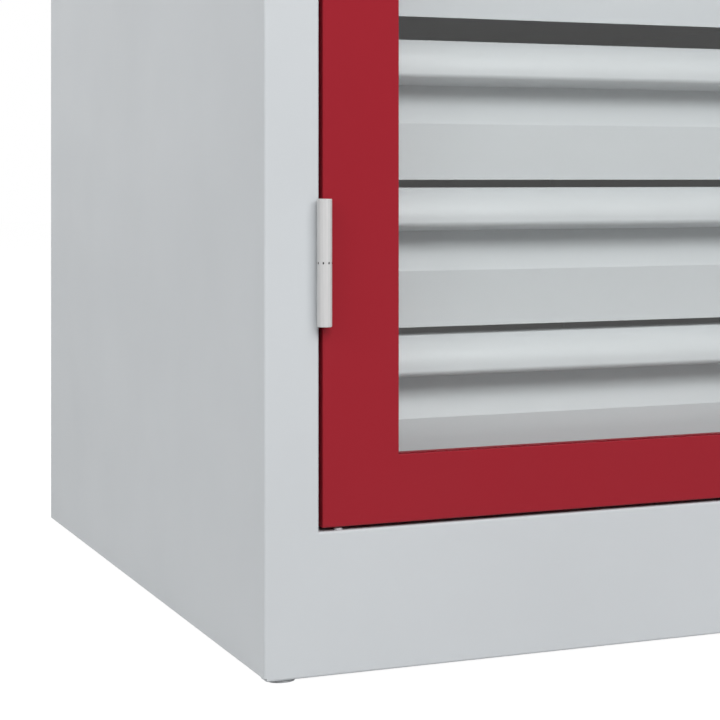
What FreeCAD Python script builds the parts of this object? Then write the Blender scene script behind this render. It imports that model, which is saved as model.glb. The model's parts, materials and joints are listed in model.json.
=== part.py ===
"""Steel tool cabinet with a hinged window door, three drawers with rolled grip fronts and open shelves.

Units are millimetres. X runs to the right, Y to the back and Z up. The origin lies on the ground,
at the middle of the cabinet's overall width and depth, with the door handle counted in the depth.
"""
import FreeCAD, Part
import math
import os

import Sketcher
from FreeCAD import Rotation, Vector

# Driving dimensions: alias, value in millimetres, meaning.
CASING_SIZES = [
    ("width", 600, "width over the side panels"),
    ("depth", 600, "depth from the front face to the back, without the handle"),
    ("height", 1000, "height from the ground to the top"),
    ("skin", 1.25, "sheet of the casing and the door"),
    ("bend", 1.5, "outside radius of a folded edge"),
    ("stile", 37.2, "width of the front face beside the door opening"),
    ("top_rail", 36.5, "height of the front face above the door opening"),
    ("sill_height", 94.9, "top of the sill and of the cabinet floor"),
    ("wrap", 12, "how far the front frame folds round onto the sides"),
    ("reveal", 28, "depth of the door opening's edge"),
    ("stop_width", 13.5, "flange that the door closes against"),
    ("rear_flange", 25, "flange of a side panel onto the back"),
    ("foot_flange", 25, "flange of a side panel at the ground"),
    ("side_lift", 2.1, "lower edge of the sides and the back above that of the front"),
    ("corner_relief", 2, "width of the notch in each lower corner of the front"),
    ("panel_lip", 18, "down-turned lips of the top and floor panels"),
    ("fit_gap", 0.3, "clearance between neighbouring pieces that move"),
]
FOOT_SIZES = [
    ("foot_height", 2.4, "foot pad under the casing"),
    ("foot_radius", 10, "foot pad"),
    ("foot_bevel", 0.9, "bevel on the rim of the pad"),
    ("foot_side", 15, "foot centre from the side"),
    ("foot_front", 13, "foot centre from the front and from the back"),
    ("stem_radius", 4, "threaded stem of a foot"),
    ("stem_length", 16, "stem above the pad"),
    ("stem_room", 0.5, "radial room for the stem in the flanges"),
    ("gusset_side", 45, "square corner gusset"),
    ("gusset_plate", 3, "thickness of a corner gusset"),
]
DOOR_SIZES = [
    ("side_gap", 2.6, "gap between the door and a stile"),
    ("end_gap", 2.4, "gap between the door and the sill or the top rail"),
    ("door_depth", 20, "thickness of the door"),
    ("door_stile", 53.1, "width of the door frame beside the window"),
    ("door_rail", 44.3, "height of the door frame under and over the window"),
    ("door_bend", 1.2, "outside radius of the door's folded edges"),
    ("window_bend", 0.6, "radius of the window's edge"),
    ("pane_lap", 8, "how far the pane reaches behind the frame"),
    ("pane_recess", 14, "how far the pane's recess reaches behind the frame"),
    ("pane_plate", 3, "thickness of the pane"),
    ("seal_plate", 1.5, "thickness of the window seal"),
    ("strip_plate", 1.5, "thickness of a pane strip"),
    ("strip_cover", 1, "how far a pane strip shows in the window"),
    ("screw_lap", 11, "pane screw from the window's edge"),
    ("screw_radius", 1.5, "shank of a pane screw"),
    ("screw_head_radius", 2.8, "head of a pane screw"),
    ("screw_head", 1.8, "height of a pane screw's head"),
    ("screw_room", 0.2, "radial room for a pane screw in its strip"),
    ("screw_inset", 60, "first pane screw from the end of a strip"),
    ("pad_side", 52, "sill pad from the side of the casing"),
    ("pad_front", 5, "sill pad from the front face"),
    ("pad_radius", 3, "sill pad"),
    ("pad_height", 1.6, "sill pad"),
    ("buffer_radius", 5, "rubber door buffer"),
    ("buffer_inset", 150, "door buffer from the ends of the opening"),
    ("buffer_side", 6.5, "door buffer from the edge of the opening"),
]
HINGE_SIZES = [
    ("hinge_radius", 4.9, "hinge barrel"),
    ("hinge_length", 81.6, "hinge barrel, both knuckles"),
    ("hinge_side", 38.7, "hinge axis from the side of the casing"),
    ("hinge_reach", 5.5, "hinge axis in front of the front face"),
    ("hinge_inset", 170, "hinge middle from the end of the door"),
    ("hinge_round", 0.5, "rounding of a knuckle's ends"),
    ("pin_radius", 3, "hinge pin"),
    ("pin_room", 0.05, "radial running clearance of a hinge pin"),
    ("pin_end", 4, "metal left beyond the ends of a hinge pin"),
    ("leaf_plate", 1, "hinge leaf"),
    ("leaf_root", 4, "start of the leaf from the hinge axis"),
    ("leaf_reach", 18, "end of the leaf behind the front face"),
]
LOCK_SIZES = [
    ("lock_height", 530, "lock axis above the ground"),
    ("handle_reach", 34, "handle in front of the front face"),
    ("plate_width", 28, "lock plate"),
    ("plate_height", 120, "lock plate"),
    ("plate_depth", 6, "lock plate"),
    ("plate_corner", 10, "corner radius of the lock plate"),
    ("plate_round", 1.5, "rounding of the lock plate's front edge"),
    ("hub_radius", 13, "round hub of the handle"),
    ("lever_length", 95, "handle from the lock axis to its tip"),
    ("lever_root", 18, "height of the lever at the hub"),
    ("lever_tip", 12, "height of the lever at its tip"),
    ("lever_depth", 9, "thickness of the lever"),
    ("lever_round", 2, "rounding of the lever's edges"),
    ("cylinder_radius", 8, "lock cylinder"),
    ("cylinder_length", 18, "lock cylinder"),
    ("plug_radius", 6, "turning plug of the lock cylinder"),
    ("plug_room", 0.05, "radial running clearance of the plug"),
    ("plug_recess", 0.4, "plug behind the face of the cylinder"),
    ("key_slot_width", 1.4, "keyway"),
    ("key_slot_height", 7, "keyway"),
    ("key_slot_depth", 12, "keyway"),
    ("spindle_radius", 4, "spindle between the handle and the lock disc"),
    ("spindle_room", 0.1, "radial running clearance of the spindle"),
    ("spindle_bite", 6, "how deep the spindle sits in the hub"),
    ("disc_radius", 12, "lock disc"),
    ("disc_front", 8.5, "front of the lock disc behind the front face"),
    ("disc_plate", 3, "lock disc"),
    ("crank_radius", 9, "rod pins from the lock axis"),
    ("crank_pin_radius", 2, "rod pins on the lock disc"),
    ("crank_pin_length", 5, "rod pins on the lock disc"),
    ("crank_room", 0.5, "room round a rod pin in its slot"),
    ("rod_width", 8, "locking rod"),
    ("rod_plate", 3, "locking rod"),
    ("rod_offset", 8.5, "locking rod from the lock axis"),
    ("rod_back", 0.5, "tip of a drawn-in rod inside the door's edge"),
    ("yoke_inner", 2, "slotted head of a rod, nearest the lock axis"),
    ("yoke_outer", 14, "slotted head of a rod, farthest from the lock axis"),
    ("yoke_rim", 3.5, "metal round the slot of a rod's head"),
    ("guide_wall", 2, "wall of a rod guide"),
    ("guide_length", 14, "rod guide along the rod"),
    ("guide_near", 90, "rod guide from the lock axis"),
    ("guide_end", 60, "rod guide from the end of the door"),
    ("strike_room", 1.5, "room round a rod in the sill and the top rail"),
]
DRAWER_SIZES = [
    ("first_drawer", 120.1, "bottom of the lowest drawer front above the ground"),
    ("drawer_pitch", 100, "from one drawer to the next"),
    ("drawer_setback", 43.4, "drawer fronts behind the front face"),
    ("drawer_margin", 78, "end of a drawer front from the side of the casing"),
    ("front_height", 94.7, "drawer front"),
    ("front_box", 18, "folded depth of a drawer front"),
    ("front_plate", 1.2, "sheet of a drawer front"),
    ("front_hem", 12, "hems of a drawer front on the tray"),
    ("grip_start", 38.2, "height where the front leans back under the grip"),
    ("grip_root_height", 64.9, "height of the grip's root"),
    ("grip_root_depth", 15, "grip's root behind the drawer front"),
    ("roll_reach", 13.4, "rolled edge in front of the drawer front"),
    ("roll_radius", 27.7, "rolled edge"),
    ("roll_height", 71.5, "centre of the rolled edge"),
    ("roll_lip", 3, "rounding under the rolled edge"),
    ("front_overhang", 10, "drawer front past the tray on each side"),
    ("tray_lift", 6, "tray above the bottom of its front"),
    ("tray_height", 78, "tray"),
    ("tray_depth", 485, "tray"),
    ("tray_plate", 1, "sheet of a tray"),
    ("slide_thickness", 12.7, "closed slide between the wall and the tray"),
    ("slide_height", 45, "fixed rail"),
    ("slide_centre", 42, "slide centre above the bottom of the front"),
    ("slide_length", 480, "slide"),
    ("slide_plate", 1.2, "sheet of a rail"),
    ("slide_start", 2, "start of a slide behind the front of its tray"),
]
SHELF_SIZES = [
    ("cover_height", 452, "top of the cover over the drawers"),
    ("cover_lip", 20, "down-turned front lip of the cover"),
    ("upright_width", 25, "slotted upright"),
    ("upright_depth", 12, "slotted upright"),
    ("upright_inset", 70, "uprights from the front face and from the back"),
    ("slot_first", 30, "first slot above the cover"),
    ("slot_pitch", 50, "slots of an upright"),
    ("slot_width", 14, "slot of an upright"),
    ("slot_height", 4, "slot of an upright"),
    ("shelf_edge", 25, "folded edge of a shelf"),
    ("shelf_return", 14, "inward fold under the edge of a shelf"),
    ("shelf_plate", 1, "sheet of a shelf"),
    ("shelf_room", 1, "room between a shelf and the uprights"),
    ("shelf_front", 48, "front of a shelf behind the front face"),
    ("shelf_back", 8, "back of a shelf from the back panel"),
    ("clip_width", 12, "shelf clip"),
    ("clip_plate", 3, "shelf clip"),
    ("clip_reach", 14, "shelf clip under the shelf"),
    ("clip_hook", 6, "hook of a shelf clip behind the upright"),
    ("clip_back", 2, "thickness of the hook"),
]
ALL_SIZES = (
    CASING_SIZES + FOOT_SIZES + DOOR_SIZES + HINGE_SIZES + LOCK_SIZES + DRAWER_SIZES + SHELF_SIZES
)
DRAWER_COUNT = 3
SHELF_SLOTS = (3, 6)
HIGH_SCREW_COUNT = 4
WIDE_SCREW_COUNT = 3
CRANK_ANGLE = 45

doc = FreeCAD.newDocument("ToolCabinet")
sheet = doc.addObject("Spreadsheet::Sheet", "Dims")
nodes = []


class Size:
    """A length written as a formula over the sheet's cells, together with its present value."""

    def __init__(self, text, value):
        self.text = text
        self.value = value

    def __add__(self, other):
        other = as_size(other)
        return Size(f"({self.text} + {other.text})", self.value + other.value)

    def __radd__(self, other):
        return as_size(other) + self

    def __sub__(self, other):
        other = as_size(other)
        return Size(f"({self.text} - {other.text})", self.value - other.value)

    def __rsub__(self, other):
        return as_size(other) - self

    def __mul__(self, factor):
        factor = as_size(factor)
        return Size(f"({self.text} * {factor.text})", self.value * factor.value)

    def __rmul__(self, factor):
        return as_size(factor) * self

    def __truediv__(self, divisor):
        divisor = as_size(divisor)
        return Size(f"({self.text} / {divisor.text})", self.value / divisor.value)

    def __neg__(self):
        return Size(f"(0 - {self.text})", -self.value)


def as_size(value):
    """A number as a Size; a Size stays as it is."""
    if isinstance(value, Size):
        return value
    return Size(f"{value}", value)


def root_of(size):
    """The square root of a Size."""
    return Size(f"sqrt({size.text})", math.sqrt(size.value))


class Dimensions:
    """Gives each cell of the sheet as a Size, by its alias."""


def fill_sheet():
    """Write the driving dimensions into the sheet and return them by name."""
    names = Dimensions()
    for row, (alias, value, meaning) in enumerate(ALL_SIZES, start=1):
        sheet.set(f"A{row}", meaning)
        sheet.set(f"B{row}", str(value))
        sheet.setAlias(f"B{row}", alias)
        setattr(names, alias, Size(f"Dims.{alias}", value))
    doc.recompute()
    return names


d = fill_sheet()
ZERO = as_size(0)

# Planes of the casing.
half = d.width / 2
left = -half
right = half
front = (d.handle_reach - d.depth) / 2
back = front + d.depth
base = d.foot_height
panel_base = base + d.side_lift
top = d.height
sill = d.sill_height
lintel = top - d.top_rail
opening_left = left + d.stile
opening_right = right - d.stile
two_skins = 2 * d.skin
back_inside = back - two_skins

# A hole through one sheet starts a skin outside it and ends a skin behind it.
through = 3 * d.skin
TOUCH = 1e-4

# Planes of the door.
door_left = opening_left + d.side_gap
door_right = opening_right - d.side_gap
door_bottom = sill + d.end_gap
door_top = lintel - d.end_gap
window_left = door_left + d.door_stile
window_right = door_right - d.door_stile
window_bottom = door_bottom + d.door_rail
window_top = door_top - d.door_rail

# The lock's axis runs along Y, midway between the pane's recess and the free edge of the door.
lock_x = (window_right + d.pane_recess + door_right) / 2
lock_z = d.lock_height
rod_front = front + d.disc_front + d.disc_plate + d.crank_room


def bind(item, name, size):
    """Tie a property to its formula."""
    item.setExpression(name, as_size(size).text)


def move(item, x, y, z):
    """Tie the place of an object to three formulas."""
    bind(item, "Placement.Base.x", x)
    bind(item, "Placement.Base.y", y)
    bind(item, "Placement.Base.z", z)


def keep(item, label):
    """Name an object and count it as a sub-part of the cabinet."""
    item.Label = label
    nodes.append(item)
    return item


def box(name, low, high):
    """A block between two corners."""
    item = doc.addObject("Part::Box", name)
    for side, start, end in zip(("Length", "Width", "Height"), low, high):
        bind(item, side, end - start)
    move(item, *low)
    return item


TURN_TO = {
    "X": Rotation(Vector(0, 1, 0), 90),
    "Y": Rotation(Vector(1, 0, 0), -90),
    "Z": Rotation(),
}


def rod(name, axis, start, length, radius):
    """A round bar from its start along +X, +Y or +Z."""
    item = doc.addObject("Part::Cylinder", name)
    item.Placement.Rotation = TURN_TO[axis]
    bind(item, "Radius", radius)
    bind(item, "Height", length)
    move(item, *start)
    return item


def fuse(name, pieces):
    """One solid from several that meet."""
    item = doc.addObject("Part::MultiFuse", name)
    item.Shapes = pieces
    item.Refine = True
    return item


def cut(name, base_piece, tools):
    """A solid with other solids taken away."""
    item = doc.addObject("Part::Cut", name)
    item.Base = base_piece
    item.Tool = tools[0] if len(tools) == 1 else fuse(f"{name}_tools", tools)
    item.Refine = True
    return item


def group(name, pieces):
    """Several separate solids under one name."""
    item = doc.addObject("Part::Compound", name)
    item.Links = pieces
    return item


def new_body(name, x=ZERO, y=ZERO, z=ZERO):
    """An empty body at its place."""
    body = doc.addObject("PartDesign::Body", name)
    move(body, x, y, z)
    return body


def rectangle(u_low, v_low, u_high, v_high):
    """The corners of a rectangle, for an outline."""
    return [(u_low, v_low), (u_high, v_low), (u_high, v_high), (u_low, v_high)]


def add_edge(drawing, start, end):
    """Draw one edge of an outline; return its number and which of its ends comes first."""
    first = Vector(start[0].value, start[1].value, 0)
    last = Vector(end[0].value, end[1].value, 0)
    if len(end) == 2:
        return drawing.addGeometry(Part.LineSegment(first, last), False), 1, 2
    centre = Vector(end[2].value, end[3].value, 0)
    forward = (first - centre).cross(last - centre).z > 0
    low, high = (first, last) if forward else (last, first)
    circle = Part.Circle(centre, Vector(0, 0, 1), end[4].value)
    angles = [math.atan2(spot.y - centre.y, spot.x - centre.x) for spot in (low, high)]
    number = drawing.addGeometry(Part.ArcOfCircle(circle, *angles), False)
    tie = drawing.addConstraint(Sketcher.Constraint("Radius", number, end[4].value))
    drawing.setExpression(f"Constraints[{tie}]", end[4].text)
    return (number, 1, 2) if forward else (number, 2, 1)


def draw_outline(drawing, points):
    """Draw a closed outline of points (u, v); an arc's end is (u, v, centre u, centre v, radius)."""
    edges = []
    for index, point in enumerate(points):
        edges.append(add_edge(drawing, points[index - 1], point))
    for index, (number, begin, end) in enumerate(edges):
        following, follow_begin, follow_end = edges[(index + 1) % len(edges)]
        joint = Sketcher.Constraint("Coincident", number, end, following, follow_begin)
        drawing.addConstraint(joint)
        for kind, size in (("DistanceX", points[index][0]), ("DistanceY", points[index][1])):
            place = Sketcher.Constraint(kind, -1, 1, number, end, size.value)
            tie = drawing.addConstraint(place)
            drawing.setExpression(f"Constraints[{tie}]", size.text)


def draw_circle(drawing, u, v, radius):
    """Draw a circle held by its centre and radius."""
    circle = Part.Circle(Vector(u.value, v.value, 0), Vector(0, 0, 1), radius.value)
    number = drawing.addGeometry(circle, False)
    for kind, size in (("DistanceX", u), ("DistanceY", v)):
        tie = drawing.addConstraint(Sketcher.Constraint(kind, -1, 1, number, 3, size.value))
        drawing.setExpression(f"Constraints[{tie}]", size.text)
    tie = drawing.addConstraint(Sketcher.Constraint("Radius", number, radius.value))
    drawing.setExpression(f"Constraints[{tie}]", radius.text)


def sketch(body, name, plane, outlines=(), circles=(), lift=None):
    """A sketch on one of the body's own planes, lifted along the plane's normal if asked."""
    drawing = body.newObject("Sketcher::SketchObject", name)
    support = next(item for item in body.Origin.OriginFeatures if item.Role == plane)
    drawing.AttachmentSupport = [(support, "")]
    drawing.MapMode = "FlatFace"
    if lift is not None:
        bind(drawing, "AttachmentOffset.Base.z", lift)
    for points in outlines:
        draw_outline(drawing, points)
    for circle in circles:
        draw_circle(drawing, *circle)
    return drawing


def pad(body, drawing, length, backwards=False):
    """Raise a sketch into a solid."""
    item = body.newObject("PartDesign::Pad", f"{drawing.Name}_pad")
    item.Profile = drawing
    item.Reversed = backwards
    bind(item, "Length", length)
    drawing.Visibility = False
    return item


def pocket(body, drawing, length, backwards=False):
    """Cut a sketch out of the body, and make sure that it did cut."""
    doc.recompute()
    before = body.Shape.Volume
    item = body.newObject("PartDesign::Pocket", f"{drawing.Name}_pocket")
    item.Profile = drawing
    item.Reversed = backwards
    bind(item, "Length", length)
    doc.recompute()
    if body.Shape.Volume >= before:
        raise RuntimeError(f"{drawing.Name} cuts nothing")
    return item


def round_edges(body, name, radius, chosen):
    """Round the edges of the body's last feature that the test picks, in the body's own place."""
    doc.recompute()
    feature = body.Tip
    picked = []
    for number, edge in enumerate(feature.Shape.Edges, start=1):
        if chosen(edge):
            picked.append(f"Edge{number}")
    if not picked:
        raise RuntimeError(f"{name} found no edge")
    item = body.newObject("PartDesign::Fillet", name)
    item.Base = (feature, picked)
    bind(item, "Radius", radius)
    doc.recompute()
    return item


def edge_lies(edge, axis, place):
    """Whether both ends of an edge have the given coordinate along an axis."""
    return all(abs(getattr(vertex.Point, axis) - place) < TOUCH for vertex in edge.Vertexes)


def edge_runs(edge, axis):
    """Whether an edge is straight and runs along an axis."""
    if not is_open(edge):
        return False
    step = edge.Vertexes[1].Point - edge.Vertexes[0].Point
    return abs(abs(getattr(step, axis)) - step.Length) < TOUCH


def lies_on(edge, low_x, high_x, low_z, high_z):
    """Whether an edge lies on one of the four sides of an upright rectangle."""
    beside = edge_lies(edge, "x", low_x.value) or edge_lies(edge, "x", high_x.value)
    return beside or edge_lies(edge, "z", low_z.value) or edge_lies(edge, "z", high_z.value)


def is_open(edge):
    """Whether an edge has two ends, unlike the rim of a round hole."""
    return len(edge.Vertexes) == 2


def make_front_frame():
    """The folded front: stiles, plinth and top rail in one face, with the door opening's edges."""
    body = new_body("front_frame", y=front)
    opening = rectangle(opening_left, sill, opening_right, lintel)
    outer = rectangle(left, base, right, top)
    face = sketch(body, "front_frame_face", "XZ_Plane", [outer, opening])
    pad(body, face, d.skin, True)
    inner = rectangle(left + d.skin, base + d.skin, right - d.skin, top - d.skin)
    wrap = sketch(body, "front_frame_wrap", "XZ_Plane", [outer, inner])
    pad(body, wrap, d.wrap, True)
    edge = rectangle(
        opening_left - d.skin, sill - d.skin, opening_right + d.skin, lintel + d.skin
    )
    reveal = sketch(body, "front_frame_reveal", "XZ_Plane", [edge, opening])
    pad(body, reveal, d.reveal, True)
    stop = [
        (opening_left - d.skin, sill),
        (opening_left + d.stop_width, sill),
        (opening_left + d.stop_width, lintel - d.stop_width),
        (opening_right - d.stop_width, lintel - d.stop_width),
        (opening_right - d.stop_width, sill),
        (opening_right + d.skin, sill),
        (opening_right + d.skin, lintel + d.skin),
        (opening_left - d.skin, lintel + d.skin),
    ]
    flange = sketch(body, "front_frame_stop", "XZ_Plane", [stop], lift=d.skin - d.reveal)
    pad(body, flange, d.skin, True)
    strikes = ((-d.rod_offset, sill + d.skin, "sill"), (d.rod_offset, lintel + two_skins, "lintel"))
    for offset, level, name in strikes:
        hole = rod_hole(offset, d.strike_room)
        strike = sketch(body, f"front_frame_{name}", "XY_Plane", [hole], lift=level)
        pocket(body, strike, through)
    stem_hole = d.stem_radius + d.stem_room
    stems = [(side * (half - d.foot_side), d.foot_front, stem_hole) for side in (-1, 1)]
    holes = sketch(body, "front_frame_stems", "XY_Plane", circles=stems, lift=base + two_skins)
    pocket(body, holes, through)
    round_edges(body, "front_frame_bends", d.bend, lambda edge: edge_lies(edge, "y", 0))
    notches = [
        rectangle(left, base, left + d.corner_relief, panel_base),
        rectangle(right - d.corner_relief, base, right, panel_base),
    ]
    relief = sketch(body, "front_frame_relief", "XZ_Plane", notches)
    pocket(body, relief, d.wrap)
    return keep(body, "front_frame")


def make_side_panel(label, side):
    """A side panel with its fold onto the back and its fold at the ground."""
    body = new_body(label, z=panel_base)
    outer = side * half
    inner = side * (half - d.skin)
    start = front + d.wrap
    profile = [
        (outer, start),
        (outer, back),
        (side * (half - d.rear_flange), back),
        (side * (half - d.rear_flange), back - d.skin),
        (inner, back - d.skin),
        (inner, start),
    ]
    plan = sketch(body, f"{label}_plan", "XY_Plane", [profile])
    pad(body, plan, top - d.skin - panel_base)
    ground = rectangle(inner, start, side * (half - d.foot_flange), back_inside)
    foot = sketch(body, f"{label}_foot", "XY_Plane", [ground])
    pad(body, foot, d.skin)
    places = (front + d.foot_front, back - d.foot_front)
    stems = [(side * (half - d.foot_side), y, d.stem_radius + d.stem_room) for y in places]
    holes = sketch(body, f"{label}_stems", "XY_Plane", circles=stems, lift=two_skins)
    pocket(body, holes, through)

    def is_rear_corner(edge):
        return edge_lies(edge, "x", outer.value) and edge_lies(edge, "y", back.value)

    round_edges(body, f"{label}_bend", d.bend, is_rear_corner)
    return keep(body, label)


def make_top_panel():
    """The flat top with lips inside the side panels."""
    plate = box("top_plate", (left, front + d.wrap, top - d.skin), (right, back, top))
    lips = []
    for side in (-1, 1):
        outer = side * (half - d.skin)
        inner = side * (half - two_skins)
        low, high = (outer, inner) if side < 0 else (inner, outer)
        lips.append(box(
            f"top_lip_{side + 1}",
            (low, front + d.wrap, top - d.skin - d.panel_lip), (high, back_inside, top - d.skin),
        ))
    return keep(fuse("top_panel", [plate] + lips), "top_panel")


def make_bottom_panel():
    """The cabinet floor, level with the sill, with lips inside the side panels."""
    start = front + d.reveal
    plate = box(
        "floor_plate", (left + d.skin, start, sill - d.skin), (right - d.skin, back_inside, sill)
    )
    lips = []
    for side in (-1, 1):
        outer = side * (half - d.skin)
        inner = side * (half - two_skins)
        low, high = (outer, inner) if side < 0 else (inner, outer)
        lips.append(box(
            f"floor_lip_{side + 1}", (low, start, sill - d.panel_lip), (high, back_inside, sill)
        ))
    return keep(fuse("bottom_panel", [plate] + lips), "bottom_panel")


def make_back_panel():
    """The back, in front of the side panels' rear folds."""
    low = (left + d.skin, back_inside, panel_base)
    high = (right - d.skin, back - d.skin, top - d.skin)
    return keep(box("back_panel", low, high), "back_panel")


def foot_places():
    """The side and the centre of each of the four feet."""
    for side in (-1, 1):
        for y in (front + d.foot_front, back - d.foot_front):
            yield side, side * (half - d.foot_side), y


def make_gussets():
    """Corner plates that the feet are screwed into."""
    level = panel_base + d.skin
    plates = []
    for number, (side, x, y) in enumerate(foot_places()):
        outer = side * (half - d.skin)
        inner = side * (half - d.skin - d.gusset_side)
        low, high = (outer, inner) if side < 0 else (inner, outer)
        at_front = number % 2 == 0
        start = front + d.skin if at_front else back_inside - d.gusset_side
        blank = box(
            f"gusset_blank_{number}", (low, start, level),
            (high, start + d.gusset_side, level + d.gusset_plate),
        )
        hole = rod(f"gusset_hole_{number}", "Z", (x, y, base), d.stem_length, d.stem_radius)
        plates.append(cut(f"gusset_{number}", blank, [hole]))
    return keep(group("corner_gussets", plates), "corner_gussets")


def make_feet():
    """Round foot pads on threaded stems."""
    feet = []
    straight = d.foot_height - d.foot_bevel
    for number, (_, x, y) in enumerate(foot_places()):
        disc = rod(f"foot_pad_{number}", "Z", (x, y, ZERO), straight, d.foot_radius)
        rim = doc.addObject("Part::Cone", f"foot_rim_{number}")
        bind(rim, "Radius1", d.foot_radius)
        bind(rim, "Radius2", d.foot_radius - d.foot_bevel)
        bind(rim, "Height", d.foot_bevel)
        move(rim, x, y, straight)
        stem = rod(f"foot_stem_{number}", "Z", (x, y, straight), d.stem_length, d.stem_radius)
        feet.append(fuse(f"foot_{number}", [disc, rim, stem]))
    return keep(group("levelling_feet", feet), "levelling_feet")


def door_hinge_levels():
    """The middles of the lower and the upper hinge."""
    return (("lower", door_bottom + d.hinge_inset), ("upper", door_top - d.hinge_inset))


def make_hinges():
    """Barrel hinges on the front, each with a frame knuckle, a door knuckle and a pin."""
    x = left + d.hinge_side
    y = front - d.hinge_reach
    knuckle = (d.hinge_length - d.fit_gap) / 2
    bore_length = knuckle - d.pin_end
    for name, middle in door_hinge_levels():
        low = middle - d.hinge_length / 2
        high = middle + d.fit_gap / 2
        leaf_low = (opening_left, y + d.leaf_root, low)
        leaf_high = (opening_left + d.leaf_plate, front + d.leaf_reach, low + knuckle)
        make_knuckle(
            f"{name}_frame_knuckle", (x, y, low), knuckle, (leaf_low, leaf_high),
            (low + d.pin_end, bore_length, d.pin_radius),
        )
        leaf_low = (door_left - d.leaf_plate, y + d.leaf_root, high)
        leaf_high = (door_left, front + d.leaf_reach, high + knuckle)
        make_knuckle(
            f"{name}_door_knuckle", (x, y, high), knuckle, (leaf_low, leaf_high),
            (high, bore_length, d.pin_radius + d.pin_room),
        )
        pin_start = low + d.pin_end
        pin = rod(f"{name}_hinge_pin", "Z", (x, y, pin_start), 2 * bore_length, d.pin_radius)
        keep(pin, f"{name}_hinge_pin")


def make_knuckle(label, start, length, leaf, bore):
    """One hinge knuckle with its leaf in the gap beside the door."""
    x, y, z = start
    barrel = rod(f"{label}_barrel", "Z", start, length, d.hinge_radius)
    doc.recompute()
    soft = doc.addObject("Part::Fillet", f"{label}_soft")
    soft.Base = barrel
    rims = []
    for number, edge in enumerate(barrel.Shape.Edges, start=1):
        if isinstance(edge.Curve, Part.Circle):
            rims.append((number, d.hinge_round.value, d.hinge_round.value))
    soft.Edges = rims
    plate = box(f"{label}_leaf", *leaf)
    whole = fuse(f"{label}_blank", [soft, plate])
    bore_start, bore_length, bore_radius = bore
    hole = rod(f"{label}_bore", "Z", (x, y, bore_start), bore_length, bore_radius)
    return keep(cut(label, whole, [hole]), label)


def make_sill_pads():
    """Small round pads that the door glides onto."""
    pads = []
    for side in (-1, 1):
        place = (side * (half - d.pad_side), front + d.pad_front, sill)
        pads.append(rod(f"sill_pad_{side + 1}", "Z", place, d.pad_height, d.pad_radius))
    return keep(group("sill_pads", pads), "sill_pads")


def make_door_buffers():
    """Rubber buffers on the stop flange at the free side of the door."""
    x = opening_right - d.buffer_side
    start = front + d.door_depth + d.fit_gap
    length = d.reveal - d.skin - d.door_depth - d.fit_gap
    buffers = []
    for name, z in (("low", sill + d.buffer_inset), ("high", lintel - d.buffer_inset)):
        buffers.append(rod(f"door_buffer_{name}", "Y", (x, start, z), length, d.buffer_radius))
    return keep(group("door_buffers", buffers), "door_buffers")


def rod_hole(offset, room):
    """The outline in plan of a hole for a locking rod, with room all round."""
    middle = rod_front - front + d.rod_plate / 2
    reach = d.rod_width / 2 + room
    depth = d.rod_plate / 2 + room
    return rectangle(lock_x + offset - reach, middle - depth, lock_x + offset + reach, middle + depth)


def make_door_frame():
    """The door's outer pan with its window and its folded edges."""
    body = new_body("door_frame", y=front)
    outer = rectangle(door_left, door_bottom, door_right, door_top)
    window = rectangle(window_left, window_bottom, window_right, window_top)
    face = sketch(body, "door_frame_face", "XZ_Plane", [outer, window])
    pad(body, face, d.skin, True)
    inner = rectangle(
        door_left + d.skin, door_bottom + d.skin, door_right - d.skin, door_top - d.skin
    )
    edge = sketch(body, "door_frame_edge", "XZ_Plane", [outer, inner])
    pad(body, edge, d.door_depth, True)
    low_edge = (-d.rod_offset, door_bottom + two_skins, "low")
    high_edge = (d.rod_offset, door_top + d.skin, "high")
    for offset, level, name in (low_edge, high_edge):
        outline = rod_hole(offset, d.crank_room)
        hole = sketch(body, f"door_frame_{name}", "XY_Plane", [outline], lift=level)
        pocket(body, hole, through)
    spindle = [(lock_x, lock_z, d.spindle_radius + d.stem_room)]
    bore = sketch(body, "door_frame_bore", "XZ_Plane", circles=spindle)
    pocket(body, bore, two_skins)

    def is_outer_edge(edge):
        sides = (door_left, door_right, door_bottom, door_top)
        return edge_lies(edge, "y", 0) and lies_on(edge, *sides)

    def is_window_edge(edge):
        sides = (window_left, window_right, window_bottom, window_top)
        return edge_lies(edge, "y", 0) and lies_on(edge, *sides)

    round_edges(body, "door_frame_bends", d.door_bend, is_outer_edge)
    round_edges(body, "door_frame_window_edge", d.window_bend, is_window_edge)
    return keep(body, "door_frame")


def window_rectangle(reach):
    """The window's outline, wider on every side by the reach."""
    return rectangle(window_left - reach, window_bottom - reach, window_right + reach, window_top + reach)


def make_door_inner_frame():
    """The door's inner pan, with the edge of the pane's recess."""
    body = new_body("door_inner_frame", y=front)
    outer = rectangle(
        door_left + d.skin, door_bottom + d.skin, door_right - d.skin, door_top - d.skin
    )
    recess = window_rectangle(d.pane_recess)
    face = sketch(body, "door_inner_face", "XZ_Plane", [outer, recess], lift=d.skin - d.door_depth)
    pad(body, face, d.skin, True)
    wall = window_rectangle(d.pane_recess + d.skin)
    rim = sketch(body, "door_inner_rim", "XZ_Plane", [wall, recess], lift=-d.skin)
    pad(body, rim, d.door_depth - d.skin, True)
    return keep(body, "door_inner_frame")


def spaced(run, count):
    """Evenly spaced distances from 0 to the end of a run."""
    return [run * step / (count - 1) for step in range(count)]


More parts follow.
